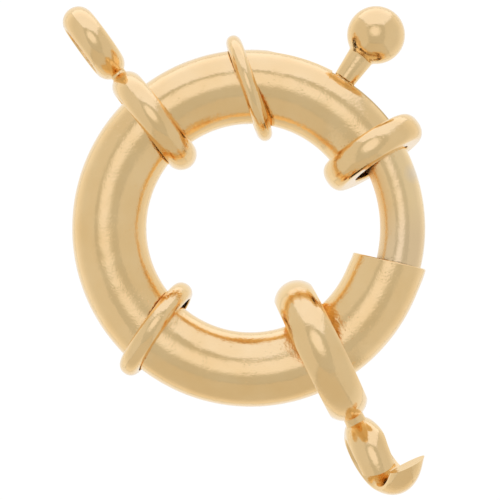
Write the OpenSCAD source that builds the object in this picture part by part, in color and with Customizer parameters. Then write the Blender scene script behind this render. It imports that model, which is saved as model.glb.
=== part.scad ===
// Spring ring clasp of the large round kind, lying flat.
// A hollow tube bent to a ring has a gap that a sprung bolt closes. A ball lever
// draws the bolt back. Three collars sit on the tube, and two figure-eight
// connectors hang on it, one closed and one opened sideways for fastening.
// The ring lies in the XY plane, centred on the origin, and its mouth is near +X.
// Angles are in degrees, counted anticlockwise from +X about the ring's centre.

/* [Ring tube] */
// Outer diameter of the ring
ring_d = 18; // [17:0.1:19]
// Outer diameter of the tube
tube_d = 3.75; // [3.6:0.05:3.8]
// Wall of the tube
tube_wall = 0.15; // [0.1:0.01:0.18]
// Angle of the mouth, where the bolt enters the tube
mouth_angle = -13.2; // [-20:0.1:-8]
// Hole through the two crimps inside the tube
crimp_bore_d = 1.2; // [0.8:0.1:1.6]
// Length of each crimp along the tube
crimp_len = 0.4; // [0.3:0.05:0.6]

/* [Bolt and spring] */
// Diameter of the sliding bolt
bolt_d = 2.28; // [2:0.02:2.4]
// Clearance between the bolt and the outer wall of the tube
bolt_clearance = 0.05; // [0.03:0.01:0.1]
// Length of the bolt that stands inside the mouth
bolt_entry = 0.9; // [0.6:0.05:1.3]
// Length of the bolt's tapered nose
nose_len = 0.35; // [0.2:0.05:0.5]
// Diameter of the nose at its tip
nose_d = 1.7; // [1.2:0.1:1.9]
// Gap between the bolt's ends and the crimp and spring beside them
stop_gap = 0.08; // [0.05:0.01:0.15]
// Length of the bolt behind the lever
bolt_tail = 1.1; // [0.8:0.1:1.6]
// Angle that the bolt slides through when it is drawn back
bolt_travel = 23; // [15:0.5:25]
// Wire of the coil spring
spring_wire = 0.26; // [0.2:0.02:0.3]
// Outer diameter of the coil spring
spring_d = 2.1; // [1.8:0.05:2.2]
// Turns of the coil spring
spring_turns = 18; // [12:1:24]

/* [Lever] */
// Angle of the lever where it leaves the ring
lever_angle = 57.7; // [50:0.1:62]
// Lean of the lever away from the ring's radius
lever_lean = -3; // [-6:0.5:0]
// Diameter of the post at the ring
post_base_d = 1.12; // [0.9:0.02:1.2]
// Diameter of the post under the ball
post_top_d = 1.34; // [1:0.02:1.6]
// Diameter of the ball
ball_d = 2.92; // [2.4:0.02:3.2]
// Distance from the ring's outside to the middle of the ball
ball_reach = 2.61; // [2.2:0.05:3]
// Diameter of the post's foot in the bolt
foot_d = 0.8; // [0.6:0.05:0.9]
// Depth of the foot in the bolt
foot_depth = 1; // [0.6:0.05:1.2]
// Clearance around the foot
foot_clearance = 0.02; // [0.01:0.01:0.04]
// Clearance on each side of the post in its slot
slot_clearance = 0.07; // [0.05:0.01:0.12]
// How much wider than the slot its drilled end is
slot_relief = 0.08; // [0.04:0.01:0.12]
// Clearance on each side of the post in the window beside it
window_clearance = 0.29; // [0.2:0.01:0.32]
// Turn of the window towards the front of the clasp
window_roll = 6; // [0:1:7]
// Length of the window past the lever
window_reach = 0.75; // [0.6:0.05:1]

/* [Collars] */
// Difference between the bore of a collar and the tube
collar_play = 0.7; // [0.66:0.01:0.76]
// Wall of a collar
collar_wall = 0.52; // [0.45:0.005:0.6]
// Angle of the collar at the end of the tube
end_collar_angle = 32.4; // [30:0.1:35]
// Width of the end collar
end_collar_w = 1.4; // [1.1:0.05:1.5]
// Tilt of the end collar, which shows its front face
end_collar_tilt = -8; // [-9:0.5:0]
// Lip of the end collar past the end of the tube
end_collar_lip = 0.35; // [0.2:0.05:0.5]
// Angle of the top collar
top_collar_angle = 91.1; // [89:0.1:94]
// Width of the top collar
top_collar_w = 0.8; // [0.6:0.05:0.9]
// Yaw of the top collar on the tube
top_collar_yaw = 17.6; // [0:0.2:18]
// Angle of the side collar
side_collar_angle = 226.8; // [220:0.1:234]
// Width of the side collar
side_collar_w = 1.05; // [0.8:0.05:1.2]
// Yaw of the side collar on the tube
side_collar_yaw = 8; // [0:0.5:9]
// Tilt of the side collar, which shows its rear face
side_collar_tilt = 3; // [0:0.5:4]
// Shift of the end collar away from the ring's centre
end_collar_shift = 0.12; // [0:0.01:0.14]
// Shift of the side collar towards the ring's centre
side_collar_shift = 0.16; // [0:0.01:0.18]

/* [Connectors] */
// Thickness of the connectors' bands
connector_t = 0.7; // [0.6:0.02:0.75]
// Least gap between the tube and a connector under it
connector_gap = 0.05; // [0.03:0.01:0.1]
// Diameter of the neck between two loops
neck_d = 0.72; // [0.6:0.02:0.9]
// Angle of the closed connector on the ring
closed_angle = 131.8; // [124:0.1:140]
// Yaw of the closed connector's ring loop
closed_yaw = -3.7; // [-6:0.1:2]
// Yaw of the closed connector's eye against its ring loop
closed_bend = -2; // [-8:0.5:4]
// Shift of the closed connector away from the ring's centre
closed_shift = 0.14; // [0:0.01:0.16]
// Outer diameter of the closed connector's ring loop
closed_loop_d = 5.9; // [5.8:0.05:6.4]
// Outer diameter of the closed connector's eye
closed_eye_d = 4.2; // [3.8:0.05:4.6]
// Band width of the closed connector
closed_w = 1.54; // [1.2:0.02:1.6]
// Gap between the closed connector's two loops, which its neck bridges
closed_neck_gap = 0.04; // [0:0.01:0.2]
// Angle of the open connector on the ring
open_angle = 299.8; // [290:0.1:306]
// Yaw of the open connector
open_yaw = -3.6; // [-6:0.1:2]
// Shift of the open connector towards the ring's centre
open_shift = 0.05; // [0:0.01:0.2]
// Outer diameter of the open connector's ring loop
open_loop_d = 7.62; // [7:0.02:8]
// Band width of the open connector's ring loop
open_loop_w = 2.08; // [1.6:0.02:2.2]
// Outer diameter of the open connector's eye
open_eye_d = 4.48; // [4:0.02:4.8]
// Band width of the open connector's eye
open_eye_w = 1.88; // [1.4:0.02:2]
// Gap between the open connector's two loops, which its neck bridges
open_neck_gap = 0.24; // [0:0.02:0.4]
// Angle from the neck over the top to the cut in the opened eye
open_cut_angle = 110; // [90:1:125]
// Angle left open between the two cut ends
open_cut_gap = 18; // [6:1:22]
// Sideways shift of the eye's free end
open_side_shift = 1.38; // [1:0.02:1.7]

/* [Hidden] */
$fn = 200;

gold = "#DDB57B";
pale_gold = "#E2C195";
steel = "#B9B9B4";

// Flat edge under a band's dome, and the most that the dome rises per half width
edge_t = 0.1;
dome_share = 0.8;

// How far a cut runs past what it cuts, in millimetres or degrees
past = 1;

ring_r = ring_d / 2;
tube_r = tube_d / 2;
bore_r = tube_r - tube_wall;
path_r = ring_r - tube_r;
bolt_path_r = ring_r - tube_wall - bolt_clearance - bolt_d / 2;
collar_id = tube_d + collar_play;
collar_d = collar_id + 2 * collar_wall;

// The collars or the connectors stand lowest, and the clasp rests on them
floor_z = -max(collar_d / 2, tube_r + connector_gap + connector_t);

function arc(length, radius) = length / radius * 180 / PI;
function polar(radius, angle) = [radius * cos(angle), radius * sin(angle)];
function unit(v) = v / norm(v);

tube_end_angle = end_collar_angle - arc(end_collar_w / 2 - end_collar_lip, path_r);
bolt_tip_angle = mouth_angle - arc(bolt_entry, bolt_path_r);
nose_base_angle = bolt_tip_angle + arc(nose_len, bolt_path_r);
bolt_rear_angle = lever_angle + arc(bolt_tail, bolt_path_r);
bolt_stop_angle = bolt_tip_angle - arc(stop_gap + crimp_len, bolt_path_r);
spring_stop_angle = side_collar_angle;
crimp_angle = arc(crimp_len, path_r);
slot_w = post_base_d + 2 * slot_clearance;
window_w = post_base_d + 2 * window_clearance;
window_end_angle = lever_angle + arc(window_reach, ring_r);

function dome_height(width, thickness) = min(thickness - edge_t, dome_share * width / 2);
function dome_radius(width, height) = (width * width / 4 + height * height) / (2 * height);

// Section of a band: a flat inner face at x = 0 and a domed outer face
module band_profile(width, thickness) {
    dome_r = dome_radius(width, dome_height(width, thickness));
    intersection() {
        translate([thickness - dome_r, 0])
            circle(r = dome_r);
        translate([0, -width / 2])
            square([thickness + past, width]);
    }
}

// A round band standing on edge, with its axis along Y
module band(outer_d, width, thickness) {
    rotate([90, 0, 0])
        rotate_extrude()
            translate([outer_d / 2 - thickness, 0])
                band_profile(width, thickness);
}

// An arc of round bar about the ring's centre
module bar_arc(radius, bar_r, from, to) {
    rotate([0, 0, from])
        rotate_extrude(angle = to - from)
            translate([radius, 0])
                circle(r = bar_r);
}

// A slot through the outer wall of the tube, turned about the tube by roll
module wall_cut(width, roll, from, to) {
    rotate([0, 0, from])
        rotate_extrude(angle = to - from)
            translate([path_r, 0])
                rotate(roll)
                    translate([bore_r / 2, -width / 2])
                        square([tube_r, width]);
}

// A hole drilled through the outer wall of the tube
module drilled_hole(diameter, angle) {
    rotate([0, 0, angle])
        translate([path_r + bore_r / 2, 0, 0])
            rotate([0, 90, 0])
                cylinder(h = tube_r, d = diameter);
}

module tube() {
    mouth = mouth_angle + 360;
    bolt_stop = bolt_stop_angle + 360;
    color(gold)
        difference() {
            bar_arc(path_r, tube_r, tube_end_angle, mouth);
            bar_arc(path_r, bore_r, tube_end_angle - past, spring_stop_angle);
            bar_arc(path_r, bore_r, spring_stop_angle + crimp_angle, bolt_stop);
            bar_arc(path_r, bore_r, bolt_stop + crimp_angle, mouth + past);
            bar_arc(path_r, crimp_bore_d / 2, spring_stop_angle - past, mouth);
            wall_cut(window_w, window_roll, tube_end_angle - past, window_end_angle);
            wall_cut(slot_w, 0, lever_angle, lever_angle + bolt_travel);
            drilled_hole(slot_w + slot_relief, lever_angle + bolt_travel);
        }
}

// A collar around the tube: yaw turns it in plan and tilt leans it over
module collar(angle, width, shift, yaw, tilt) {
    color(gold)
        rotate([0, 0, angle])
            translate([path_r + shift, 0, 0])
                rotate([tilt, 0, yaw])
                    band(collar_d, width, collar_wall);
}

module end_collar() {
    collar(end_collar_angle, end_collar_w, end_collar_shift, 0, end_collar_tilt);
}

module top_collar() {
    collar(top_collar_angle, top_collar_w, 0, top_collar_yaw, 0);
}

module side_collar() {
    collar(side_collar_angle, side_collar_w, -side_collar_shift, side_collar_yaw, side_collar_tilt);
}

// Places a child with its X axis along the lever, at the bolt's outer surface
module at_lever() {
    rotate([0, 0, lever_angle])
        translate([ring_r, 0, 0])
            rotate([0, 0, lever_lean])
                translate([-ring_r + bolt_path_r + bolt_d / 2, 0, 0])
                    children();
}

module bolt() {
    color(pale_gold)
        difference() {
            union() {
                bar_arc(bolt_path_r, bolt_d / 2, nose_base_angle, bolt_rear_angle);
                rotate([0, 0, nose_base_angle])
                    translate([bolt_path_r, 0, 0])
                        rotate([90, 0, 0])
                            cylinder(h = nose_len, d1 = bolt_d, d2 = nose_d);
            }
            at_lever()
                translate([-foot_depth, 0, 0])
                    rotate([0, 90, 0])
                        cylinder(h = foot_depth + past, d = foot_d + 2 * foot_clearance);
        }
}

module lever() {
    post_len = ball_reach + tube_wall + bolt_clearance;
    color(gold)
        at_lever()
            rotate([0, 90, 0]) {
                translate([0, 0, foot_clearance - foot_depth])
                    cylinder(h = foot_depth + post_len / 2, d = foot_d);
                translate([0, 0, foot_clearance])
                    cylinder(h = post_len - foot_clearance, d1 = post_base_d, d2 = post_top_d);
                translate([0, 0, post_len])
                    sphere(d = ball_d);
            }
}

// One point on the coil, which winds around an arc about the ring's centre
function coil_point(share, coil_r, from, to) =
    let (turn = 360 * spring_turns * share)
    let (along = from + (to - from) * share)
    let (radius = bolt_path_r + coil_r * cos(turn))
    [radius * cos(along), radius * sin(along), coil_r * sin(turn)];

module coil_spring() {
    sides = 5;
    steps = spring_turns * 10;
    coil_r = (spring_d - spring_wire) / 2;
    end_room = arc(spring_wire / 2 + stop_gap, bolt_path_r);
    from = bolt_rear_angle + end_room;
    to = spring_stop_angle - end_room;
    middle = [for (i = [-1 : steps + 1]) coil_point(i / steps, coil_r, from, to)];
    axis = [for (i = [0 : steps]) coil_point(i / steps, 0, from, to)];
    points = [
        for (i = [0 : steps])
            let (outward = unit(middle[i + 1] - axis[i]))
            let (across = unit(cross(middle[i + 2] - middle[i], outward)))
            for (k = [0 : sides - 1])
                let (turn = 360 * k / sides)
                middle[i + 1] + spring_wire / 2 * (cos(turn) * outward + sin(turn) * across)
    ];
    color(steel)
        polyhedron(points, swept_faces(steps, sides), convexity = 10);
}

// Faces of a closed sweep with this many steps and sides
function swept_faces(steps, sides) = concat(
    [[for (k = [0 : sides - 1]) k]],
    [
        for (i = [0 : steps - 1])
            for (k = [0 : sides - 1])
                for (half = [0, 1])
                    let (next = (k + 1) % sides)
                    let (near = i * sides)
                    let (far = near + sides)
                    half == 0 ? [near + next, near + k, far + k] : [near + next, far + k, far + next]
    ],
    [[for (k = [sides - 1 : -1 : 0]) steps * sides + k]]
);

// Middle of a loop that stands on the floor at this place in plan
function loop_middle(place, outer_d) = [place[0], place[1], floor_z + outer_d / 2];

// Middle of the eye beyond a ring loop, at the distance that the neck leaves
function eye_middle(loop, loop_d, eye_d, direction, gap) =
    let (reach = (loop_d + eye_d) / 2 + gap)
    let (drop = (loop_d - eye_d) / 2)
    let (plan = sqrt(reach * reach - drop * drop))
    let (place = [loop[0], loop[1]] + polar(plan, direction))
    loop_middle(place, eye_d);

// Neck between two loops, sunk halfway into both bands
module neck(loop, eye, loop_d, eye_d) {
    span = eye - loop;
    start = (loop_d - connector_t) / 2;
    end = norm(span) - (eye_d - connector_t) / 2;
    translate(loop)
        rotate([0, 90 - asin(span[2] / norm(span)), atan2(span[1], span[0])])
            translate([0, 0, start])
                cylinder(h = end - start, d = neck_d);
}

module closed_connector() {
    direction = closed_angle + closed_yaw;
    loop = loop_middle(polar(path_r + closed_shift, closed_angle), closed_loop_d);
    eye = eye_middle(loop, closed_loop_d, closed_eye_d, direction, closed_neck_gap);
    color(gold)
        union() {
            translate(loop)
                rotate([0, 0, direction])
                    band(closed_loop_d, closed_w, connector_t);
            translate(eye)
                rotate([0, 0, direction + closed_bend])
                    band(closed_eye_d, closed_w, connector_t);
            neck(loop, eye, closed_loop_d, closed_eye_d);
        }
}

// Outline of a band as points, inner face first, then the dome
function band_points(width, thickness, steps) =
    let (dome_r = dome_radius(width, dome_height(width, thickness)))
    let (half = asin(width / 2 / dome_r))
    concat(
        [[0, -width / 2]],
        [
            for (i = [0 : steps])
                let (a = half * (2 * i / steps - 1))
                [thickness - dome_r + dome_r * cos(a), dome_r * sin(a)]
        ],
        [[0, width / 2]]
    );

// The opened eye: its band leaves its plane towards the free end
module opened_eye() {
    steps = 56;
    profile = band_points(open_eye_w, connector_t, 10);
    sides = len(profile);
    start = 180 - open_cut_angle;
    sweep = 360 - open_cut_gap;
    still = open_cut_angle + 70;
    inner_r = open_eye_d / 2 - connector_t;
    points = [
        for (i = [0 : steps])
            let (turn = sweep * i / steps)
            let (bent = max(0, turn - still) / (sweep - still))
            let (shift = open_side_shift * pow(bent, 2))
            for (p = profile)
                let (radius = inner_r + p[0])
                [radius * cos(start + turn), p[1] + shift, radius * sin(start + turn)]
    ];
    polyhedron(points, swept_faces(steps, sides), convexity = 6);
}

module open_connector() {
    direction = open_angle + open_yaw;
    loop = loop_middle(polar(path_r - open_shift, open_angle), open_loop_d);
    eye = eye_middle(loop, open_loop_d, open_eye_d, direction, open_neck_gap);
    color(gold)
        union() {
            translate(loop)
                rotate([0, 0, direction])
                    band(open_loop_d, open_loop_w, connector_t);
            translate(eye)
                rotate([0, 0, direction])
                    opened_eye();
            neck(loop, eye, open_loop_d, open_eye_d);
        }
}

tube();
end_collar();
top_collar();
side_collar();
bolt();
lever();
coil_spring();
closed_connector();
open_connector();
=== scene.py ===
# Spring ring clasp lying flat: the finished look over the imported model
import math
import bpy
import bmesh
from mathutils import Matrix, Vector


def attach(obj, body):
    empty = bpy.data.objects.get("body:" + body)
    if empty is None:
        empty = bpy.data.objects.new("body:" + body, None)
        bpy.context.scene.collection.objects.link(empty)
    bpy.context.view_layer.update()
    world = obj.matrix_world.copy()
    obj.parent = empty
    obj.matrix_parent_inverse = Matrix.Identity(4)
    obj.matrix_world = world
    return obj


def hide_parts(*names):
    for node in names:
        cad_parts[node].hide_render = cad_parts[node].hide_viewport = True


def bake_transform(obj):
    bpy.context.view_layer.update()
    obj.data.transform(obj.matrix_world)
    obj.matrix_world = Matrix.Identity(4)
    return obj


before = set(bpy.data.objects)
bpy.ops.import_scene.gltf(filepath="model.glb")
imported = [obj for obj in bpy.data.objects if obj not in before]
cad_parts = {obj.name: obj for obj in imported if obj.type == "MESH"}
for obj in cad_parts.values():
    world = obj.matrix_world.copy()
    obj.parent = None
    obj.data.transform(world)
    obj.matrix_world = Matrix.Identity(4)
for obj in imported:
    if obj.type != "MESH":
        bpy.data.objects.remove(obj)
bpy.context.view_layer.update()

mm = 0.001
mergeDistance = 0.0005  # millimetres

# sizes that several pieces share, in millimetres and degrees
ring = {
    "pathRadius": 7.125,
    "tubeRadius": 1.875,
    "outerRadius": 9.0,
    "boltPathRadius": 7.66,
    "floorHeight": -2.745,
}


# helpers for meshes: points are in millimetres, and a mesh is in metres
def ringPoint(radius, angle, height):
    a = math.radians(angle)
    return Vector((radius * math.cos(a), radius * math.sin(a), height))


def easeIn(value, start, end):
    # 0 before start, 1 after end, smooth between
    t = min(max((value - start) / (end - start), 0), 1)
    return t * t * (3 - 2 * t)


def makeObject(name, mesh):
    piece = bpy.data.objects.new(name, mesh)
    bpy.context.scene.collection.objects.link(piece)
    return piece


def meshFromGrid(name, rows, closedRows, capEnds):
    # rows is a list of equally long rings of points; faces join neighbours
    mesh = bpy.data.meshes.new(name)
    wide = len(rows[0])
    points = [p * mm for row in rows for p in row]
    faces = []
    rowCount = len(rows)
    for r in range(rowCount if closedRows else rowCount - 1):
        for c in range(wide):
            r2, c2 = (r + 1) % rowCount, (c + 1) % wide
            faces.append((r * wide + c, r2 * wide + c, r2 * wide + c2, r * wide + c2))
    if capEnds:
        faces.append(tuple(range(wide)))
        faces.append(tuple((rowCount - 1) * wide + c for c in reversed(range(wide))))
    mesh.from_pydata([tuple(p) for p in points], [], faces)
    return mesh


def smoothMesh(mesh, sharpAngle):
    mesh.shade_smooth()
    mesh.set_sharp_from_angle(angle=math.radians(sharpAngle))
    return mesh


def tidyMesh(mesh, sharpAngle):
    b = bmesh.new()
    b.from_mesh(mesh)
    bmesh.ops.remove_doubles(b, verts=b.verts, dist=mergeDistance * mm)
    bmesh.ops.dissolve_degenerate(b, edges=b.edges, dist=mergeDistance * mm * 0.2)
    bmesh.ops.recalc_face_normals(b, faces=b.faces)
    b.to_mesh(mesh)
    b.free()
    return smoothMesh(mesh, sharpAngle)


def finishPiece(piece, material, body, node):
    piece.data.materials.clear()
    piece.data.materials.append(material)
    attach(piece, body)
    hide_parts(node)
    print("made", piece.name, len(piece.data.polygons), "faces")


# helpers for node trees
def addNode(tree, kind, place=(0, 0), **values):
    node = tree.nodes.new(kind)
    node.location = place
    for key, value in values.items():
        setattr(node, key, value)
    return node


def mathNode(tree, operation, first, second=None, third=None, clamp=False):
    node = tree.nodes.new("ShaderNodeMath")
    node.operation = operation
    node.use_clamp = clamp
    for index, value in enumerate((first, second, third)):
        if value is None:
            continue
        if isinstance(value, (int, float)):
            node.inputs[index].default_value = value
        else:
            tree.links.new(value, node.inputs[index])
    return node.outputs[0]


def noiseNode(tree, vector, scale, detail=2.0, roughness=0.5):
    node = tree.nodes.new("ShaderNodeTexNoise")
    node.inputs["Scale"].default_value = scale
    node.inputs["Detail"].default_value = detail
    node.inputs["Roughness"].default_value = roughness
    tree.links.new(vector, node.inputs["Vector"])
    return node.outputs["Fac"]


def rampNode(tree, value, stops):
    node = tree.nodes.new("ShaderNodeValToRGB")
    ramp = node.color_ramp
    while len(ramp.elements) < len(stops):
        ramp.elements.new(0.5)
    for element, (position, color) in zip(ramp.elements, stops):
        element.position = position
        element.color = (*color, 1)
    tree.links.new(value, node.inputs["Fac"])
    return node.outputs["Color"]


# polished gold plate: two tints, haze, and pits, waves and grain with depths in millimetres
goldFinish = {
    "light": (0.955, 0.705, 0.375),
    "deep": (0.925, 0.655, 0.32),
    "tintsPerMm": 0.55,
    "roughness": 0.09,
    "roughnessSpread": 0.06,
    "roughnessOfGrain": 0.04,
    "hazePerMm": 2.2,
    "pitsPerMm": 6.5,
    "pitDepth": 0.06,
    "pitReach": 0.26,
    "cellsWithoutPit": 0.55,
    "patchesPerMm": 0.9,     # pits and most of the grain lie in patches
    "patchEdge": 8,
    "wavesPerMm": 1.1,
    "waveDepth": 0.015,
    "grainPerMm": 8.0,
    "grainDepth": 0.013,
    "grainBetween": 0.45,    # share of the grain's depth between the patches
}

# bolt: tints by distance from the ring's centre are a painted reflection, deeper orange near its inner side
# and paler towards its outer side; rougher on its inner side, with two worn places and how far each reaches
boltFinishWithPaintedReflection = dict(
    goldFinish,
    roughness=0.1,
    # painted reflection across the bolt: radius in millimetres and tint, deeper orange near the inner side,
    # paler outwards
    tints=(
        (6.55, (0.97, 0.66, 0.33)),
        (6.78, (0.93, 0.615, 0.275)),
        (7.02, (0.93, 0.64, 0.31)),
        (7.2, (0.945, 0.68, 0.345)),
        (7.75, (0.955, 0.71, 0.39)),
        (8.1, (0.975, 0.75, 0.42)),
        (8.75, (0.985, 0.765, 0.45)),
    ),
    tintWander=0.24, wandersPerMm=1.3,
    roughSide=0.17, roughReach=(6.7, 7.15),
    worn=(0.90, 0.69, 0.415), wornPlace=(8.0, -1.6), wornReach=(1.2, 3.0),
    bare=(0.87, 0.735, 0.54), barePlace=(8.2, 2.75), bareReach=(0.1, 0.6),
)

steelFinish = dict(goldFinish, light=(0.66, 0.65, 0.63), deep=(0.5, 0.49, 0.47), roughness=0.3)


def distanceTo(tree, place, point):
    # distance in plan from a point given in millimetres
    flat = addNode(tree, "ShaderNodeVectorMath", (-900, 400), operation="MULTIPLY")
    flat.inputs[1].default_value = (1, 1, 0)
    tree.links.new(place, flat.inputs[0])
    away = addNode(tree, "ShaderNodeVectorMath", (-700, 400), operation="DISTANCE")
    away.inputs[1].default_value = (*point, 0)
    tree.links.new(flat.outputs[0], away.inputs[0])
    return away.outputs["Value"]


def paintedReflectionAndWearColor(tree, place, finish):
    # painted reflection: the colour follows the distance from the ring's centre, paler outwards and deeper
    # orange near the inside; the two worn places are then mixed in
    stops = finish["tints"]
    first, last = stops[0][0], stops[-1][0]
    uneven = noiseNode(tree, place, finish["wandersPerMm"], 3, 0.6)
    wander = mathNode(tree, "MULTIPLY_ADD", uneven, finish["tintWander"], -finish["tintWander"] / 2)
    radius = mathNode(tree, "ADD", distanceTo(tree, place, (0, 0)), wander)
    share = mathNode(tree, "DIVIDE", mathNode(tree, "SUBTRACT", radius, first), last - first, clamp=True)
    color = rampNode(tree, share, [((at - first) / (last - first), tint) for at, tint in stops])
    for kind in ("worn", "bare"):
        near, far = finish[kind + "Reach"]
        away = mathNode(tree, "ADD", distanceTo(tree, place, finish[kind + "Place"]), wander)
        outside = mathNode(tree, "DIVIDE", mathNode(tree, "SUBTRACT", away, near), far - near, clamp=True)
        amount = mathNode(tree, "SUBTRACT", 1.0, outside)
        blend = addNode(tree, "ShaderNodeMix", (-300, 400), data_type="RGBA")
        tree.links.new(amount, blend.inputs[0])
        tree.links.new(color, blend.inputs[6])
        blend.inputs[7].default_value = (*finish[kind], 1)
        color = blend.outputs[2]
    return color


def metalMaterial(name, finish):
    material = bpy.data.materials.new(name)
    material.use_nodes = True
    tree = material.node_tree
    shader = tree.nodes["Principled BSDF"]
    shader.inputs["Metallic"].default_value = 1.0

    coordinates = addNode(tree, "ShaderNodeTexCoord", (-1400, 0))
    inMillimetres = addNode(tree, "ShaderNodeMapping", (-1200, 0))
    inMillimetres.inputs["Scale"].default_value = (1 / mm,) * 3
    tree.links.new(coordinates.outputs["Object"], inMillimetres.inputs["Vector"])
    place = inMillimetres.outputs["Vector"]

    # the bolt's colour holds a painted reflection by distance from the ring's centre, and real worn places
    if "tints" in finish:
        color = paintedReflectionAndWearColor(tree, place, finish)
    else:
        tints = noiseNode(tree, place, finish["tintsPerMm"], 3)
        color = rampNode(tree, tints, [(0.3, finish["deep"]), (0.7, finish["light"])])
    tree.links.new(color, shader.inputs["Base Color"])

    haze = noiseNode(tree, place, finish["hazePerMm"], 4, 0.6)
    grain = noiseNode(tree, place, finish["grainPerMm"], 3, 0.6)
    spread = finish["roughnessSpread"]
    hazePart = mathNode(tree, "MULTIPLY_ADD", haze, spread, finish["roughness"] - spread / 2)
    if "roughSide" in finish:
        near, far = finish["roughReach"]
        inwards = mathNode(tree, "SUBTRACT", far, distanceTo(tree, place, (0, 0)))
        inwards = mathNode(tree, "DIVIDE", inwards, far - near, clamp=True)
        hazePart = mathNode(tree, "MULTIPLY_ADD", inwards, finish["roughSide"], hazePart)
    roughness = mathNode(tree, "MULTIPLY_ADD", grain, finish["roughnessOfGrain"], hazePart, clamp=True)
    tree.links.new(roughness, shader.inputs["Roughness"])

    pits = addNode(tree, "ShaderNodeTexVoronoi", (-900, -500))
    pits.inputs["Scale"].default_value = finish["pitsPerMm"]
    tree.links.new(place, pits.inputs["Vector"])
    patches = mathNode(tree, "SUBTRACT", noiseNode(tree, place, finish["patchesPerMm"], 3), 0.5, clamp=True)
    gate = mathNode(tree, "MULTIPLY", patches, finish["patchEdge"], clamp=True)
    cellShade = addNode(tree, "ShaderNodeSeparateColor", (-700, -500))
    tree.links.new(pits.outputs["Color"], cellShade.inputs[0])
    hasPit = mathNode(tree, "GREATER_THAN", cellShade.outputs[0], finish["cellsWithoutPit"])
    pitShape = mathNode(tree, "SUBTRACT", finish["pitReach"], pits.outputs["Distance"], clamp=True)
    pitShape = mathNode(tree, "MULTIPLY", pitShape, mathNode(tree, "MULTIPLY", gate, hasPit))
    pitHeight = mathNode(tree, "MULTIPLY", pitShape, -finish["pitDepth"])
    waves = noiseNode(tree, place, finish["wavesPerMm"], 1)
    height = mathNode(tree, "MULTIPLY_ADD", waves, finish["waveDepth"], pitHeight)
    between = finish["grainDepth"] * finish["grainBetween"]
    grainDepth = mathNode(tree, "MULTIPLY_ADD", gate, finish["grainDepth"] - between, between)
    height = mathNode(tree, "MULTIPLY_ADD", grain, grainDepth, height)
    bump = addNode(tree, "ShaderNodeBump", (-300, -400))
    bump.inputs["Strength"].default_value = 1.0
    bump.inputs["Distance"].default_value = mm
    tree.links.new(height, bump.inputs["Height"])
    tree.links.new(bump.outputs["Normal"], shader.inputs["Normal"])
    return material


gold = metalMaterial("polishedGold", goldFinish)
paleGold = metalMaterial("paleGold", boltFinishWithPaintedReflection)
springSteel = metalMaterial("springSteel", steelFinish)
print("materials ready")


# helpers for pieces that Geometry Nodes make
def newTree(name, inputs):
    tree = bpy.data.node_groups.new(name, "GeometryNodeTree")
    tree.interface.new_socket(name="Geometry", in_out="INPUT", socket_type="NodeSocketGeometry")
    tree.interface.new_socket(name="Geometry", in_out="OUTPUT", socket_type="NodeSocketGeometry")
    for label, value in inputs.items():
        kind = "NodeSocketInt" if isinstance(value, int) else "NodeSocketFloat"
        socket = tree.interface.new_socket(name=label, in_out="INPUT", socket_type=kind)
        socket.default_value = value
    return tree, addNode(tree, "NodeGroupInput", (-1200, 0)), addNode(tree, "NodeGroupOutput", (1000, 0))


def closeTree(tree, geometry, output, material):
    realize = addNode(tree, "GeometryNodeRealizeInstances", (600, 0))
    paint = addNode(tree, "GeometryNodeSetMaterial", (800, 0))
    paint.inputs["Material"].default_value = material
    tree.links.new(geometry, realize.inputs["Geometry"])
    tree.links.new(realize.outputs["Geometry"], paint.inputs["Geometry"])
    tree.links.new(paint.outputs["Geometry"], output.inputs["Geometry"])


def bakeTree(name, tree, values):
    # runs the tree on an empty piece and keeps the result as a plain mesh
    piece = makeObject(name, bpy.data.meshes.new(name))
    modifier = piece.modifiers.new("shape", "NODES")
    modifier.node_group = tree
    for item in tree.interface.items_tree:
        if item.in_out == "INPUT" and item.name in values:
            modifier[item.identifier] = values[item.name]
    bpy.context.view_layer.update()
    evaluated = piece.evaluated_get(bpy.context.evaluated_depsgraph_get())
    mesh = bpy.data.meshes.new_from_object(evaluated)
    piece.modifiers.remove(modifier)
    piece.data = mesh
    mesh.name = name
    return piece


# ring tube
tubeShape = {
    "wall": 0.15,
    "startAngle": 30.5,
    "mouthAngle": 346.8,
    "crestShift": 0.19,      # the tube's crest stands outside its middle line
    "mouthShift": 0.07,      # the ring stands slightly open at its mouth
    "mouthShiftStart": 338.0,
    "shoulder": 0.014,       # fuller inner shoulders on the lower half of the ring
    "shoulderTurn": 158.0,
    "shoulderSpread": 20,
    "shoulderStart": 200,
    "shoulderFull": 245,
    "lip": 0.09,
    "slotWidth": 1.26,
    "slotEnd": 80.7,
    "windowWidth": 1.7,
    "windowEnd": 62.47,
    "windowRoll": 6.0,
    "columns": 420,
    "slotEndColumns": 14,
    "lipColumns": 8,
    "windowStep": 0.02,      # half the step in degrees from the window to the slot
    "rows": 72,
    "merge": 0.0002,
}


def tubeSection(angle, turn):
    # outer point and outward normal of the tube's section, turn 0 outwards and 90 up
    s = tubeShape
    t = math.radians(turn)
    r = ring["tubeRadius"]
    e = s["crestShift"]
    lift = s["mouthShift"] * easeIn(angle, s["mouthShiftStart"], s["mouthAngle"])
    off = abs((turn + 180) % 360 - 180) - s["shoulderTurn"]
    atShoulder = math.exp(-((off / s["shoulderSpread"]) ** 2))
    full = 1 + s["shoulder"] * easeIn(angle, s["shoulderStart"], s["shoulderFull"]) * atShoulder
    radial = full * r * math.cos(t) + e * math.sin(t) ** 2
    height = full * r * math.sin(t)
    normal = Vector((math.cos(t) * r, (r - 2 * e * math.cos(t)) * math.sin(t)))
    normal.normalize()
    return ring["pathRadius"] + lift + radial, height, normal


def slotEndReach():
    # degrees that the slot's round end takes
    return math.degrees(tubeShape["slotWidth"] / 2 / ring["outerRadius"])


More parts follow.
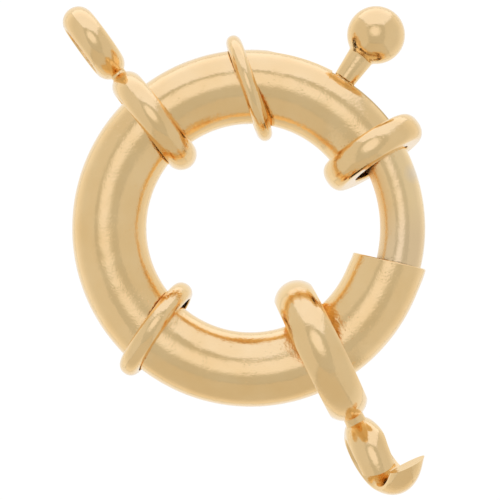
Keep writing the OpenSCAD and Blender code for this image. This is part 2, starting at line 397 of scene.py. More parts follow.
def slotEdges(angle):
    # upper and lower turn where the tube's skin starts beside the slot
    s = tubeShape
    r = ring["tubeRadius"]
    slotTurn = math.degrees(math.asin(s["slotWidth"] / 2 / r))
    windowTurn = math.degrees(math.asin(s["windowWidth"] / 2 / r))
    if angle <= s["windowEnd"]:
        return windowTurn + s["windowRoll"], windowTurn - s["windowRoll"]
    if angle <= s["slotEnd"]:
        return slotTurn, slotTurn
    beyond = (angle - s["slotEnd"]) / slotEndReach()
    if beyond < 1:
        share = math.sqrt(1 - beyond * beyond)
        return slotTurn * share, slotTurn * share
    return 0.0, 0.0


def tubeColumns():
    # even steps, with more at the window's end, the slot's round end and the mouth's lip
    s = tubeShape
    span = s["mouthAngle"] - s["startAngle"]
    angles = [s["startAngle"] + span * i / s["columns"] for i in range(s["columns"] + 1)]
    angles += [s["windowEnd"] - s["windowStep"], s["windowEnd"] + s["windowStep"]]
    slotTurns = [math.radians(90 * i / s["slotEndColumns"]) for i in range(s["slotEndColumns"] + 1)]
    angles += [s["slotEnd"] + slotEndReach() * math.sin(t) for t in slotTurns]
    lipReach = math.degrees(s["lip"] / ring["outerRadius"])
    lipTurns = [math.radians(90 * i / s["lipColumns"]) for i in range(s["lipColumns"])]
    angles += [s["mouthAngle"] - lipReach * (1 - math.sin(t)) for t in lipTurns]
    angles = sorted(angles)
    kept = [angles[0]]
    for a in angles[1:]:
        if a - kept[-1] > s["windowStep"] / 2:
            kept.append(a)
    return kept


def buildTube():
    s = tubeShape
    outer, inner, slotOpen = [], [], []
    for angle in tubeColumns():
        up, down = slotEdges(angle)
        slotOpen.append(up > 0.01)
        outerRow, innerRow = [], []
        beforeMouth = min(math.radians(s["mouthAngle"] - angle) * ring["outerRadius"] / s["lip"], 1)
        sunk = s["lip"] * (1 - math.sqrt(1 - (1 - beforeMouth) ** 2))
        for i in range(s["rows"] + 1):
            turn = up + (360 - down - up) * i / s["rows"]
            radial, height, normal = tubeSection(angle, turn)
            outerRow.append(ringPoint(radial - sunk * normal.x, angle, height - sunk * normal.y))
            wall = s["wall"]
            innerRow.append(ringPoint(radial - wall * normal.x, angle, height - wall * normal.y))
        outer.append(outerRow)
        inner.append(innerRow)
    wide = s["rows"] + 1
    count = len(outer)
    points = [p * mm for row in outer for p in row] + [p * mm for row in inner for p in row]
    shift = count * wide
    faces = []
    for c in range(count - 1):
        for i in range(wide - 1):
            a, b, d, e = c * wide + i, (c + 1) * wide + i, (c + 1) * wide + i + 1, c * wide + i + 1
            faces.append((a, b, d, e))
            faces.append((a + shift, e + shift, d + shift, b + shift))
        for i in (0, wide - 1) if slotOpen[c] or slotOpen[c + 1] else ():
            a, b = c * wide + i, (c + 1) * wide + i
            faces.append((a, b, b + shift, a + shift))
    for c in (0, count - 1):
        for i in range(wide - 1):
            a, b = c * wide + i, c * wide + i + 1
            faces.append((a, b, b + shift, a + shift))
    mesh = bpy.data.meshes.new("ringTube")
    mesh.from_pydata([tuple(p) for p in points], [], faces)
    b = bmesh.new()
    b.from_mesh(mesh)
    bmesh.ops.remove_doubles(b, verts=b.verts, dist=s["merge"] * mm)
    bmesh.ops.recalc_face_normals(b, faces=b.faces)
    print("tube open edges", sum(1 for e in b.edges if not e.is_manifold))
    b.to_mesh(mesh)
    b.free()
    return makeObject("ringTube", smoothMesh(mesh, sharpAngle=40))


ringTube = buildTube()
finishPiece(ringTube, gold, "ring", "tube")


# collars, each a domed band round the tube
collarShape = {
    "diameter": 5.49,
    "rise": 0.52,        # how far the band's dome stands over its edges
    "domePower": 2.15,   # fullness of the dome, and of the foot inside it where none is given
    "footPower": 5.0,
    "lipStart": 0.78,    # where the end collar's lip starts, as a share of half its width
    "lipSlope": 0.05,
    "end": {
        "angle": 31.85, "width": 1.5, "foot": 0.12, "footPower": 16.0, "shift": 0.12, "yaw": 1, "tilt": -7.2,
        "lip": 0.555, "holeShift": 0.07,
    },
    "top": {"angle": 90.6, "width": 0.8, "foot": 0.03, "shift": -0.07, "yaw": 18.4, "tilt": 0, "larger": 0.1},
    "side": {"angle": 226.8, "width": 1.05, "foot": 0.03, "shift": -0.16, "yaw": 8, "tilt": 4.5},
}


def collarTree():
    tree, inputs, output = newTree("collarBand", {
        "Diameter": 5.49, "Width": 1.0, "Rise": 0.5, "Foot": 0.1,
        "Dome Power": collarShape["domePower"], "Foot Power": collarShape["footPower"],
        "Lip": 0.0, "Hole Shift": 0.0, "Around": 240, "Across": 57,
    })
    grid = addNode(tree, "GeometryNodeMeshGrid", (-900, 200))
    tree.links.new(inputs.outputs["Around"], grid.inputs["Vertices X"])
    tree.links.new(inputs.outputs["Across"], grid.inputs["Vertices Y"])
    place = tree.nodes.new("GeometryNodeInputPosition")
    parts = tree.nodes.new("ShaderNodeSeparateXYZ")
    tree.links.new(place.outputs[0], parts.inputs[0])
    around = mathNode(tree, "MULTIPLY", mathNode(tree, "ADD", parts.outputs["X"], 0.5), 2 * math.pi)
    section = mathNode(tree, "MULTIPLY", mathNode(tree, "ADD", parts.outputs["Y"], 0.5), 2 * math.pi)
    outwards, sideways = mathNode(tree, "COSINE", section), mathNode(tree, "SINE", section)
    isDome = mathNode(tree, "GREATER_THAN", outwards, 0.0)

    def either(dome, foot):
        spare = mathNode(tree, "SUBTRACT", dome, foot)
        return mathNode(tree, "MULTIPLY_ADD", spare, isDome, foot)

    def bulge(value, power):
        # a power of 2 keeps the section round, and more makes it fuller
        size = mathNode(tree, "POWER", mathNode(tree, "ABSOLUTE", value), mathNode(tree, "DIVIDE", 2.0, power))
        return mathNode(tree, "MULTIPLY", size, mathNode(tree, "SIGN", value))

    power = either(inputs.outputs["Dome Power"], inputs.outputs["Foot Power"])
    across = bulge(sideways, power)
    # a lip with a hole for the bolt closes the side that faces the ring's gap
    atLip = mathNode(tree, "SUBTRACT", mathNode(tree, "MULTIPLY", across, -1.0), collarShape["lipStart"])
    atLip = mathNode(tree, "DIVIDE", atLip, collarShape["lipSlope"], clamp=True)
    lip = mathNode(tree, "MULTIPLY", mathNode(tree, "COSINE", around), inputs.outputs["Hole Shift"])
    lip = mathNode(tree, "MULTIPLY", mathNode(tree, "SUBTRACT", inputs.outputs["Lip"], lip), atLip)
    height = either(inputs.outputs["Rise"], mathNode(tree, "ADD", inputs.outputs["Foot"], lip))
    crest = mathNode(tree, "MULTIPLY", inputs.outputs["Diameter"], 0.5)
    edge = mathNode(tree, "SUBTRACT", crest, inputs.outputs["Rise"])
    radius = mathNode(tree, "MULTIPLY_ADD", bulge(outwards, power), height, edge)
    radius = mathNode(tree, "MULTIPLY", radius, mm)
    side = mathNode(tree, "MULTIPLY", across, inputs.outputs["Width"])
    side = mathNode(tree, "MULTIPLY", side, mm / 2)
    point = tree.nodes.new("ShaderNodeCombineXYZ")
    tree.links.new(mathNode(tree, "MULTIPLY", mathNode(tree, "COSINE", around), radius), point.inputs["X"])
    tree.links.new(side, point.inputs["Y"])
    tree.links.new(mathNode(tree, "MULTIPLY", mathNode(tree, "SINE", around), radius), point.inputs["Z"])
    shape = addNode(tree, "GeometryNodeSetPosition", (200, 0))
    tree.links.new(grid.outputs["Mesh"], shape.inputs["Geometry"])
    tree.links.new(point.outputs[0], shape.inputs["Position"])
    weld = addNode(tree, "GeometryNodeMergeByDistance", (400, 0))
    weld.inputs["Distance"].default_value = mergeDistance * mm
    tree.links.new(shape.outputs["Geometry"], weld.inputs["Geometry"])
    closeTree(tree, weld.outputs["Geometry"], output, gold)
    return tree


def turn(axis, angle):
    return Matrix.Rotation(math.radians(angle), 4, axis)


def buildCollar(tree, name, place):
    larger = place.get("larger", 0)
    collar = bakeTree(name, tree, {
        "Diameter": collarShape["diameter"] + larger, "Width": place["width"],
        "Rise": collarShape["rise"], "Foot": place["foot"],
        "Foot Power": place.get("footPower", collarShape["footPower"]),
        "Lip": place.get("lip", 0.0), "Hole Shift": place.get("holeShift", 0.0),
    })
    collar.data.transform(
        turn("Z", place["angle"])
        @ Matrix.Translation(((ring["pathRadius"] + place["shift"]) * mm, 0, larger / 2 * mm))
        @ turn("Z", place["yaw"])
        @ turn("X", place["tilt"])
    )
    tidyMesh(collar.data, sharpAngle=60)
    return collar


bandTree = collarTree()
for name, key, node in (
    ("endCollar", "end", "end_collar"),
    ("topCollar", "top", "top_collar"),
    ("sideCollar", "side", "side_collar"),
):
    finishPiece(buildCollar(bandTree, name, collarShape[key]), gold, "ring", node)


# sliding bolt
boltShape = {
    "diameter": 2.28, "tip": -19.94, "rear": 65.93,
    "noseLength": 0.35, "noseDiameter": 1.7, "edge": 0.12,
}


def arcSteps(tree, inputs):
    # a line of even steps, with each point's share of its length and the point's angle on the ring
    line = addNode(tree, "GeometryNodeCurvePrimitiveLine", (-1000, 200))
    line.inputs["End"].default_value = (1, 0, 0)
    steps = addNode(tree, "GeometryNodeResampleCurve", (-800, 200))
    tree.links.new(line.outputs["Curve"], steps.inputs["Curve"])
    tree.links.new(inputs.outputs["Steps"], steps.inputs["Count"])
    share = tree.nodes.new("GeometryNodeSplineParameter").outputs["Factor"]
    span = mathNode(tree, "SUBTRACT", inputs.outputs["To"], inputs.outputs["From"])
    angle = mathNode(tree, "MULTIPLY_ADD", span, share, inputs.outputs["From"])
    return steps.outputs["Curve"], share, mathNode(tree, "RADIANS", angle)


def bentCurve(tree, curve, angle, radius, height=None):
    # the curve's points moved round the ring's centre
    point = tree.nodes.new("ShaderNodeCombineXYZ")
    tree.links.new(mathNode(tree, "MULTIPLY", mathNode(tree, "COSINE", angle), radius), point.inputs["X"])
    tree.links.new(mathNode(tree, "MULTIPLY", mathNode(tree, "SINE", angle), radius), point.inputs["Y"])
    if height is not None:
        tree.links.new(height, point.inputs["Z"])
    bend = addNode(tree, "GeometryNodeSetPosition", (-400, 200))
    tree.links.new(curve, bend.inputs["Geometry"])
    tree.links.new(point.outputs[0], bend.inputs["Position"])
    return bend.outputs["Geometry"]


def roundBar(tree, inputs, curve):
    # a round bar along the curve, closed at both ends
    outline = addNode(tree, "GeometryNodeCurvePrimitiveCircle", (-200, -100))
    tree.links.new(inputs.outputs["Sides"], outline.inputs["Resolution"])
    bar = addNode(tree, "GeometryNodeCurveToMesh", (200, 100))
    tree.links.new(curve, bar.inputs["Curve"])
    tree.links.new(outline.outputs["Curve"], bar.inputs["Profile Curve"])
    bar.inputs["Fill Caps"].default_value = True
    return outline, bar


def boltTree():
    tree, inputs, output = newTree("boltBar", {
        "From": -20.0, "To": 66.0, "Path Radius": 7.66, "Diameter": 2.28,
        "Nose Length": 0.35, "Nose Diameter": 1.7, "Edge": 0.12, "Steps": 260, "Sides": 72,
    })
    curve, share, angle = arcSteps(tree, inputs)
    bent = bentCurve(tree, curve, angle, mathNode(tree, "MULTIPLY", inputs.outputs["Path Radius"], mm))
    # thickness: full, less over the nose and over the two rounded ends
    span = mathNode(tree, "SUBTRACT", inputs.outputs["To"], inputs.outputs["From"])
    length = mathNode(tree, "MULTIPLY", mathNode(tree, "RADIANS", span), inputs.outputs["Path Radius"])
    fromTip = mathNode(tree, "MULTIPLY", share, length)
    fromRear = mathNode(tree, "SUBTRACT", length, fromTip)
    half = mathNode(tree, "MULTIPLY", inputs.outputs["Diameter"], 0.5)
    noseHalf = mathNode(tree, "MULTIPLY", inputs.outputs["Nose Diameter"], 0.5)
    intoNose = mathNode(tree, "DIVIDE", fromTip, inputs.outputs["Nose Length"], clamp=True)
    body = mathNode(tree, "MULTIPLY_ADD", mathNode(tree, "SUBTRACT", half, noseHalf), intoNose, noseHalf)

    def roundedBy(distance):
        # how much smaller the radius is near a rounded end
        past = mathNode(tree, "DIVIDE", distance, inputs.outputs["Edge"], clamp=True)
        near = mathNode(tree, "POWER", mathNode(tree, "SUBTRACT", 1.0, past), 2.0)
        risen = mathNode(tree, "SQRT", mathNode(tree, "SUBTRACT", 1.0, near, clamp=True))
        return mathNode(tree, "MULTIPLY", mathNode(tree, "SUBTRACT", 1.0, risen), inputs.outputs["Edge"])

    thick = mathNode(tree, "SUBTRACT", body, roundedBy(fromTip))
    thick = mathNode(tree, "SUBTRACT", thick, roundedBy(fromRear))
    thick = mathNode(tree, "MULTIPLY", thick, mm)
    swell = addNode(tree, "GeometryNodeSetCurveRadius", (-200, 200))
    tree.links.new(bent, swell.inputs["Curve"])
    tree.links.new(thick, swell.inputs["Radius"])
    outline, bar = roundBar(tree, inputs, swell.outputs["Curve"])
    outline.inputs["Radius"].default_value = 1
    if "Scale" in bar.inputs:
        tree.links.new(thick, bar.inputs["Scale"])
    closeTree(tree, bar.outputs["Mesh"], output, paleGold)
    return tree


slidingBolt = bakeTree("slidingBolt", boltTree(), {
    "From": boltShape["tip"], "To": boltShape["rear"], "Path Radius": ring["boltPathRadius"],
    "Diameter": boltShape["diameter"], "Nose Length": boltShape["noseLength"],
    "Nose Diameter": boltShape["noseDiameter"], "Edge": boltShape["edge"],
})
tidyMesh(slidingBolt.data, sharpAngle=35)
finishPiece(slidingBolt, paleGold, "sliding_bolt", "bolt")


# coil spring behind the bolt
coilShape = {
    "from": 67.51, "to": 225.24, "wire": 0.26, "diameter": 2.1,
    "turns": 18, "perTurn": 22, "sides": 8,
}


def coilTree():
    tree, inputs, output = newTree("coilSpring", {
        "From": 67.5, "To": 225.2, "Path Radius": 7.66, "Wire": 0.26, "Diameter": 2.1,
        "Turns": 18, "Steps": 396, "Sides": 8,
    })
    curve, share, angle = arcSteps(tree, inputs)
    turned = mathNode(tree, "MULTIPLY", mathNode(tree, "MULTIPLY", share, inputs.outputs["Turns"]), 2 * math.pi)
    coil = mathNode(tree, "SUBTRACT", inputs.outputs["Diameter"], inputs.outputs["Wire"])
    coil = mathNode(tree, "MULTIPLY", coil, 0.5)
    swing = mathNode(tree, "COSINE", turned)
    radius = mathNode(tree, "MULTIPLY_ADD", swing, coil, inputs.outputs["Path Radius"])
    radius = mathNode(tree, "MULTIPLY", radius, mm)
    height = mathNode(tree, "MULTIPLY", mathNode(tree, "MULTIPLY", mathNode(tree, "SINE", turned), coil), mm)
    outline, wire = roundBar(tree, inputs, bentCurve(tree, curve, angle, radius, height))
    tree.links.new(mathNode(tree, "MULTIPLY", inputs.outputs["Wire"], mm / 2), outline.inputs["Radius"])
    closeTree(tree, wire.outputs["Mesh"], output, springSteel)
    return tree


coilSpring = bakeTree("coilSpring", coilTree(), {
    "From": coilShape["from"], "To": coilShape["to"], "Path Radius": ring["boltPathRadius"],
    "Wire": coilShape["wire"], "Diameter": coilShape["diameter"], "Turns": coilShape["turns"],
    "Steps": coilShape["turns"] * coilShape["perTurn"] + 1, "Sides": coilShape["sides"],
})
tidyMesh(coilSpring.data, sharpAngle=50)
coilSpring.data.materials.clear()
coilSpring.data.materials.append(springSteel)
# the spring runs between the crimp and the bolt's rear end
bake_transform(coilSpring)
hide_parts("coil_spring")
print("made coilSpring", len(coilSpring.data.polygons), "faces")


# ball lever
leverShape = {
    "angle": 57.7, "lean": -3.0, "seatRadius": 8.8,
    "footDiameter": 0.8, "footDepth": 0.98, "baseDiameter": 1.12, "topDiameter": 1.34,
    "ballMiddle": 2.81, "ballDiameter": 2.92,
    "footEdge": 0.06, "seat": 0.02, "baseEdge": 0.04,
    "widensTo": 1.1,     # the post's taper ends a little way inside the ball
    "blend": 14,         # how sharply the post meets the ball
    "blendFrom": 0.4,    # the ball's radius there as a share of the post's, where the blend starts
    "steps": 120, "stepPower": 0.8, "ballSteps": 48, "sides": 96,
}


def leverOutline():
    # distance along the lever and radius, from the foot to the ball's far pole
    s = leverShape
    foot, base, ballRadius = s["footDiameter"] / 2, s["baseDiameter"] / 2, s["ballDiameter"] / 2
    depth, edge, seat = s["footDepth"], s["footEdge"], s["seat"]
    outline = [(-depth, 0.0), (-depth, foot - edge), (-depth + edge, foot)]
    outline += [(seat, foot), (seat, base - s["baseEdge"]), (seat + s["baseEdge"], base)]
    start, ballStart = seat + s["baseEdge"], s["ballMiddle"] - ballRadius
    for i in range(1, s["steps"]):
        along = start + (s["ballMiddle"] - start) * (i / (s["steps"] - 1)) ** s["stepPower"]
        taper = (s["topDiameter"] - s["baseDiameter"]) * min(along / ballStart, s["widensTo"])
        post = (s["baseDiameter"] + taper) / 2
        ball = math.sqrt(max(ballRadius ** 2 - (along - s["ballMiddle"]) ** 2, 0))
        k = s["blend"]
        outline.append((along, (post ** k + ball ** k) ** (1 / k) if ball > post * s["blendFrom"] else post))
    for i in range(1, s["ballSteps"] + 1):
        a = math.radians(90 * i / s["ballSteps"])
        outline.append((s["ballMiddle"] + ballRadius * math.sin(a), ballRadius * math.cos(a)))
    outline[-1] = (s["ballMiddle"] + ballRadius, 0.0)
    return outline


def buildLever():
    s = leverShape
    matrix = (
        turn("Z", s["angle"]) @ Matrix.Translation((ring["outerRadius"], 0, 0)) @ turn("Z", s["lean"])
        @ Matrix.Translation((s["seatRadius"] - ring["outerRadius"], 0, 0))
    )
    rows = []
    for along, radius in leverOutline():
        row = []
        for i in range(s["sides"]):
            a = 2 * math.pi * i / s["sides"]
            row.append(matrix @ Vector((along, radius * math.cos(a), radius * math.sin(a))))
        rows.append(row)
    mesh = meshFromGrid("ballLever", rows, closedRows=False, capEnds=False)
    return makeObject("ballLever", tidyMesh(mesh, sharpAngle=50))


finishPiece(buildLever(), gold, "sliding_bolt", "lever")


# figure-eight connectors: the upper one with a closed eye, the lower one with its eye bent open
closedShape = {
    "angle": 131.8, "yaw": -3.7, "shift": 0.14, "thickness": 0.7,
    "loopDiameter": 5.9, "loopWidth": 1.54, "eyeDiameter": 4.2, "eyeWidth": 1.54, "rise": 0.58,
    "loopThickness": 0.7, "pinch": 0.0, "loopRoll": 1.2, "eyeRoll": 2.9, "loopCrown": 0, "eyeCrown": 0,
    "bend": -2.0, "neckGap": 0.04, "neckDiameter": 0.8, "flare": 0.2,
}

openShape = {
    "angle": 299.8, "yaw": -3.6, "shift": -0.05, "thickness": 0.7,
    "loopDiameter": 7.62, "loopWidth": 2.15, "eyeDiameter": 4.48, "eyeWidth": 1.9, "rise": 0.6,
    "loopThickness": 0.7, "pinch": 0.05, "loopRoll": 0, "eyeRoll": -3.2, "loopCrown": 0.3, "eyeCrown": 0.2,
    "neckGap": 0.24, "neckDiameter": 1.04, "flare": 0.16,
    # the eye in degrees from its far end: where the near half is cut, where it
    # starts to run straighter and by how much, and where the free half ends
    "nearEnd": 86.0, "straightFrom": 105.0, "straighter": 1.36, "freeEnd": 412.0,
    # slants of the two cuts in degrees, and how many degrees they take
    "nearSlant": 3.7, "nearSkew": 1.2, "nearReach": 15, "freeSlant": 8.0, "freeReach": 24,
    # the near half narrows towards its cut, and the band is narrower at the neck
    "nearTaper": 0.22, "taperFrom": 128.0, "taperPower": 1.3, "atNeck": 0.14, "neckReach": 38,
    # the free half leaves the eye's plane
    "sideFrom": 250, "sideShift": 1.31, "sidePower": 2.1,
}


def bandOutline(width, thickness, rise, crown=0, corner=0.1, insideCorner=0.06):
    # closed outline of a D-shaped band: x outwards from the inside face, y across
    # its inside is flat, or bulges inwards by the crown
    half = width / 2
    radius = (half * half + rise * rise) / (2 * rise)
    middle = thickness - radius
    cornerX = middle + math.sqrt((radius - corner) ** 2 - (half - corner) ** 2)
    edgeTurn = math.atan2(half - corner, cornerX - middle)
    side = []
    for i in range(15):     # dome, from its middle to the edge
        a = edgeTurn * i / 14
        side.append((middle + radius * math.cos(a), radius * math.sin(a)))
    for i in range(1, 7):   # rounded outer edge
        a = edgeTurn + (math.pi / 2 - edgeTurn) * i / 6
        side.append((cornerX + corner * math.cos(a), half - corner + corner * math.sin(a)))
    if crown:
        for i in range(13):
            a = math.pi / 2 * i / 12
            side.append((-crown * math.sin(a), half * math.cos(a) if i < 12 else 0.0))
        return side + [(x, -y) for x, y in reversed(side[1:-1])]
    inside = half - insideCorner
    for i in range(7):      # rounded inner edge
        a = math.pi / 2 + math.pi / 2 * i / 6
        side.append((insideCorner + insideCorner * math.cos(a), inside + insideCorner * math.sin(a)))
    for i in range(1, 5):   # flat inside
        side.append((0.0, inside * (1 - i / 4)))
    return side + [(x, -y) for x, y in reversed(side[1:-1])]


def loopRows(diameter, width, thickness, rise, pinch, crown, matrix, around):
    # at its two ends the band may be narrower, and its inside more crowned, than on its crest
    inner = diameter / 2 - thickness
    rows = []
    for i in range(around):
        a = 2 * math.pi * i / around
        atEnds = math.cos(a) ** 2
        outline = bandOutline(width * (1 - pinch * atEnds), thickness, rise, crown * (0.2 + 0.8 * atEnds))
        row = [Vector(((inner + x) * math.cos(a), y, (inner + x) * math.sin(a))) for x, y in outline]
        rows.append([matrix @ point for point in row])
    return rows


def openedEyeRows(s, matrix, steps=200):
    # the band leaves its plane towards the free end, and is a little narrower at the neck
    start, end = s["nearEnd"], s["freeEnd"]
    inner = s["eyeDiameter"] / 2 - s["thickness"]
    turned = math.radians(s["straightFrom"])
    hinge = Vector((math.cos(turned), 0, math.sin(turned))) * s["straighter"]
    rows = []
    for i in range(steps + 1):
        at = start + (end - start) * i / steps
        bent = max(0, at - s["sideFrom"]) / (end - s["sideFrom"])
        aside = s["sideShift"] * bent ** s["sidePower"]
        nearNeck = math.exp(-(((at - 180) / s["neckReach"]) ** 2))
        width = s["eyeWidth"] * (1 - s["atNeck"] * nearNeck)
        toCut = max(0, (s["taperFrom"] - at) / (s["taperFrom"] - start))
        narrowed = s["nearTaper"] * toCut ** s["taperPower"]
        atFree, atNear = easeIn(at, end - s["freeReach"], end), 1 - easeIn(at, start, start + s["nearReach"])
        row = []
        for x, y in bandOutline(width, s["thickness"], s["rise"], s["eyeCrown"]):
            share = x / s["thickness"]
            y -= narrowed * (0.5 + y / width)
            nearCut = s["nearSlant"] * share + s["nearSkew"] * (2 * y / width - 1)
            a = math.radians(at + (s["freeSlant"] * share * atFree - nearCut * atNear))
            radius, point = inner + x, Vector((0, y + aside, 0))
            if at < s["straightFrom"]:
                radius += s["straighter"]
                point -= hinge
            point += Vector((math.cos(a), 0, math.sin(a))) * radius
            row.append(matrix @ point)
        rows.append(row)
    return rows


def neckRows(start, end, width, flare, sides=64, steps=40):
    # a short waisted bar from one band's middle to the other's
    axis = (end - start).normalized()
    across = axis.cross(Vector((0, 0, 1))).normalized()
    up = across.cross(axis)
    rows = []
    # turned by part of a step, so that no point falls on an edge of the bands
    angles = [2 * math.pi * (k + 0.37) / sides for k in range(sides)]
    for i in range(steps + 1):
        share = i / steps
        spread = flare * abs(2 * share - 1) ** 2.5
        radius = width / 2 + spread
        middle = start.lerp(end, share)
        rows.append([middle + (across * math.cos(a) + up * math.sin(a)) * radius for a in angles])
    return rows


def joinSolids(name, solids):
    # one closed mesh from overlapping closed ones
    pieces = []
    for i, mesh in enumerate(solids):
        pieces.append(makeObject(name + str(i), mesh))
    whole = pieces[0]
    for other in pieces[1:]:
        cut = whole.modifiers.new("join", "BOOLEAN")
        cut.operation = "UNION"
        cut.solver = "EXACT"
        cut.object = other
        bpy.context.view_layer.update()
        mesh = bpy.data.meshes.new_from_object(whole.evaluated_get(bpy.context.evaluated_depsgraph_get()))
        whole.modifiers.clear()
        whole.data = mesh
    for other in pieces[1:]:
        bpy.data.objects.remove(other)
    whole.name = name
    whole.data.name = name
    smoothMesh(whole.data, sharpAngle=38)
    return whole


def closedMesh(name, rows, closedRows):
    # the rows close to a ring, or else the first and the last are capped
    mesh = meshFromGrid(name, rows, closedRows, capEnds=not closedRows)
    b = bmesh.new()
    b.from_mesh(mesh)
    bmesh.ops.recalc_face_normals(b, faces=b.faces)
    b.to_mesh(mesh)
    b.free()
    return mesh


def standingLoop(place, diameter):
    return Vector((place[0], place[1], ring["floorHeight"] + diameter / 2))


def connectorPlaces(s):
    a = math.radians(s["angle"])
    reach = ring["pathRadius"] + s["shift"]
    loop = standingLoop((reach * math.cos(a), reach * math.sin(a)), s["loopDiameter"])
    direction = s["angle"] + s["yaw"]
    d = math.radians(direction)
    apart = (s["loopDiameter"] + s["eyeDiameter"]) / 2 + s["neckGap"]
    drop = (s["loopDiameter"] - s["eyeDiameter"]) / 2
    plan = math.sqrt(apart ** 2 - drop ** 2)
    eye = standingLoop((loop.x + plan * math.cos(d), loop.y + plan * math.sin(d)), s["eyeDiameter"])
    return loop, eye, direction


def neckBetween(s, loop, eye):
    # it starts and ends inside the two bands, this share of their thickness deep
    depth = 0.7
    axis = (eye - loop).normalized()
    start = loop + axis * (s["loopDiameter"] / 2 - s["loopThickness"] * depth)
    end = eye - axis * (s["eyeDiameter"] / 2 - s["thickness"] * depth)
    return closedMesh("neck", neckRows(start, end, s["neckDiameter"], s["flare"]), closedRows=False)


def standingLoopMesh(s, place, direction, around):
    # the loop that holds the tube
    rows = loopRows(
        s["loopDiameter"], s["loopWidth"], s["loopThickness"], s["rise"], s["pinch"], s["loopCrown"],
        Matrix.Translation(place) @ turn("Z", direction) @ turn("X", s["loopRoll"]), around,
    )
    return closedMesh("loop", rows, closedRows=True)


def buildClosedConnector():
    s = closedShape
    loop, eye, direction = connectorPlaces(s)
    eyeRows = loopRows(
        s["eyeDiameter"], s["eyeWidth"], s["thickness"], s["rise"], s["pinch"], s["eyeCrown"],
        Matrix.Translation(eye) @ turn("Z", direction + s["bend"]) @ turn("X", s["eyeRoll"]), around=200,
    )
    return joinSolids("closedConnector", [
        standingLoopMesh(s, loop, direction, around=260),
        closedMesh("eye", eyeRows, closedRows=True),
        neckBetween(s, loop, eye),
    ])


def buildOpenConnector():
    s = openShape
    loop, eye, direction = connectorPlaces(s)
    eyeRows = openedEyeRows(s, Matrix.Translation(eye) @ turn("Z", direction) @ turn("X", s["eyeRoll"]))
    return joinSolids("openConnector", [
        standingLoopMesh(s, loop, direction, around=300),
        closedMesh("eye", eyeRows, closedRows=False),
        neckBetween(s, loop, eye),
    ])


finishPiece(buildClosedConnector(), gold, "closed_link", "closed_connector")
finishPiece(buildOpenConnector(), gold, "open_link", "open_connector")


# only the camera sees the floor; the metal mirrors the tent, which goes on below the clasp
floorSettings = {"reach": 0.6, "color": (0.05, 0.05, 0.05), "glow": 0.99}


def buildFloor():
    reach, height = floorSettings["reach"], ring["floorHeight"] * mm
    mesh = bpy.data.meshes.new("floor")
    corners = [(x * reach, y * reach, height) for x, y in ((-1, -1), (1, -1), (1, 1), (-1, 1))]
    mesh.from_pydata(corners, [], [(0, 1, 2, 3)])
    piece = makeObject("floor", mesh)
    material = bpy.data.materials.new("floor")
    material.use_nodes = True
    shader = material.node_tree.nodes["Principled BSDF"]
    shader.inputs["Base Color"].default_value = (*floorSettings["color"], 1)
    shader.inputs["Roughness"].default_value = 0.9
    shader.inputs["Specular IOR Level"].default_value = 0.0
    shader.inputs["Emission Color"].default_value = (1, 1, 1, 1)
    shader.inputs["Emission Strength"].default_value = floorSettings["glow"]
    mesh.materials.append(material)
    piece.visible_glossy = piece.visible_diffuse = piece.visible_shadow = False


buildFloor()

# a tent of glowing sheets all round the clasp, with a soft round lamp behind its ceiling
tent = {
    "height": 0.4, "depth": 0.3, "seam": 0.012,
    # the ceiling's corners as shares of the height, and the walls hang from its edges
    "corners": ((-0.78, 0.87), (0.75, 0.87), (0.57, -0.71), (-0.62, -0.71)),
    # each sheet's brightness above the clasp, and at two depths below it
    "levelDepths": (0.08, 0.22),
    "back": {"levels": (1.02, 1.08, 1.2), "color": (0.965, 0.985, 1.14)},
    "right": {"levels": (0.71, 0.775, 0.9), "color": (1.01, 0.985, 0.96)},
    "front": {"levels": (0.65, 0.655, 0.88), "color": (1.03, 0.965, 0.87)},
    "left": {"levels": (0.735, 0.795, 0.95), "color": (1.01, 0.985, 0.965)},
    "ceiling": {"levels": (0.62, 0.62, 0.62), "color": (1.0, 0.985, 0.95)},
    "bottom": {"levels": (0.95, 0.95, 0.95), "color": (1.0, 1.0, 1.0)},
    "lampPlace": (-0.04, 0.115), "lampRadius": 0.155, "lampSoftness": 0.07, "lampRise": 0.37,
    "lampColor": (0.98, 0.975, 1.06),
    "roomLevel": 0.5,
}


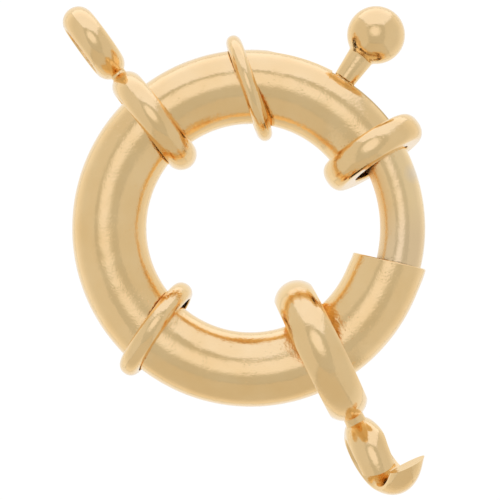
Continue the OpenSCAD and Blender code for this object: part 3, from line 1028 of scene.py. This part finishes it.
def glowSheet(name, corners):
    # a sheet that only the metal sees, with its level changing downwards
    mesh = bpy.data.meshes.new(name)
    middle = sum((Vector(c) for c in corners), Vector()) / 4
    inset = [Vector(c) + (middle - Vector(c)).normalized() * tent["seam"] for c in corners]
    mesh.from_pydata([tuple(c) for c in inset], [], [(0, 1, 2, 3)])
    sheet = makeObject(name + "Sheet", mesh)
    material = bpy.data.materials.new(name + "Sheet")
    material.use_nodes = True
    tree = material.node_tree
    tree.nodes.clear()
    place = addNode(tree, "ShaderNodeTexCoord", (-900, 0))
    parts = addNode(tree, "ShaderNodeSeparateXYZ", (-700, 0))
    tree.links.new(place.outputs["Object"], parts.inputs[0])
    share = mathNode(tree, "MULTIPLY_ADD", parts.outputs["Z"], 1 / tent["depth"], 1.0)
    above, below, deep = tent[name]["levels"]
    belowAt, deepAt = (1 - depth / tent["depth"] for depth in tent["levelDepths"])
    # the ramp holds half the levels, since a colour in it ends at 1
    stops = [(at, (value / 2,) * 3) for at, value in ((deepAt, deep), (belowAt, below), (1.0, above))]
    level = mathNode(tree, "MULTIPLY", rampNode(tree, share, stops), 2.0)
    emission = addNode(tree, "ShaderNodeEmission", (0, 0))
    emission.inputs["Color"].default_value = (*tent[name]["color"], 1)
    if name == "ceiling":
        away = addNode(tree, "ShaderNodeVectorMath", (-700, -300), operation="DISTANCE")
        tree.links.new(place.outputs["Object"], away.inputs[0])
        away.inputs[1].default_value = (*tent["lampPlace"], tent["height"])
        edge = mathNode(tree, "SUBTRACT", tent["lampRadius"] + tent["lampSoftness"] / 2, away.outputs["Value"])
        inside = mathNode(tree, "DIVIDE", edge, tent["lampSoftness"], clamp=True)
        level = mathNode(tree, "MULTIPLY_ADD", inside, tent["lampRise"], level)
        tint = rampNode(tree, inside, [(0.0, tent[name]["color"]), (1.0, tent["lampColor"])])
        tree.links.new(tint, emission.inputs["Color"])
    tree.links.new(level, emission.inputs["Strength"])
    output = addNode(tree, "ShaderNodeOutputMaterial", (300, 0))
    tree.links.new(emission.outputs[0], output.inputs["Surface"])
    mesh.materials.append(material)
    sheet.visible_camera = False


def buildTent():
    top = [(x * tent["height"], y * tent["height"], tent["height"]) for x, y in tent["corners"]]
    low = [(x, y, -tent["depth"]) for x, y, z in top]
    for i, name in enumerate(("back", "right", "front", "left")):
        j = (i + 1) % 4
        glowSheet(name, (top[i], top[j], low[j], low[i]))
    glowSheet("ceiling", top)
    glowSheet("bottom", low)


buildTent()

world = bpy.data.worlds.new("room")
bpy.context.scene.world = world
world.use_nodes = True
world.node_tree.nodes["Background"].inputs["Color"].default_value = (1, 0.99, 0.97, 1)
world.node_tree.nodes["Background"].inputs["Strength"].default_value = tent["roomLevel"]

cameraSettings = {"lens": 300, "sensor": 36, "viewWidth": 25.2, "centre": (-0.035, -1.099)}


def buildCamera():
    data = bpy.data.cameras.new("camera")
    data.sensor_width = cameraSettings["sensor"]
    data.lens = cameraSettings["lens"]
    data.clip_start, data.clip_end = 0.01, 10
    camera = bpy.data.objects.new("camera", data)
    bpy.context.scene.collection.objects.link(camera)
    x, y = cameraSettings["centre"]
    distance = cameraSettings["viewWidth"] / cameraSettings["sensor"] * cameraSettings["lens"]
    camera.location = (x * mm, y * mm, distance * mm)
    bpy.context.scene.camera = camera


buildCamera()
bpy.context.scene.view_settings.view_transform = "Standard"
print("stage ready")
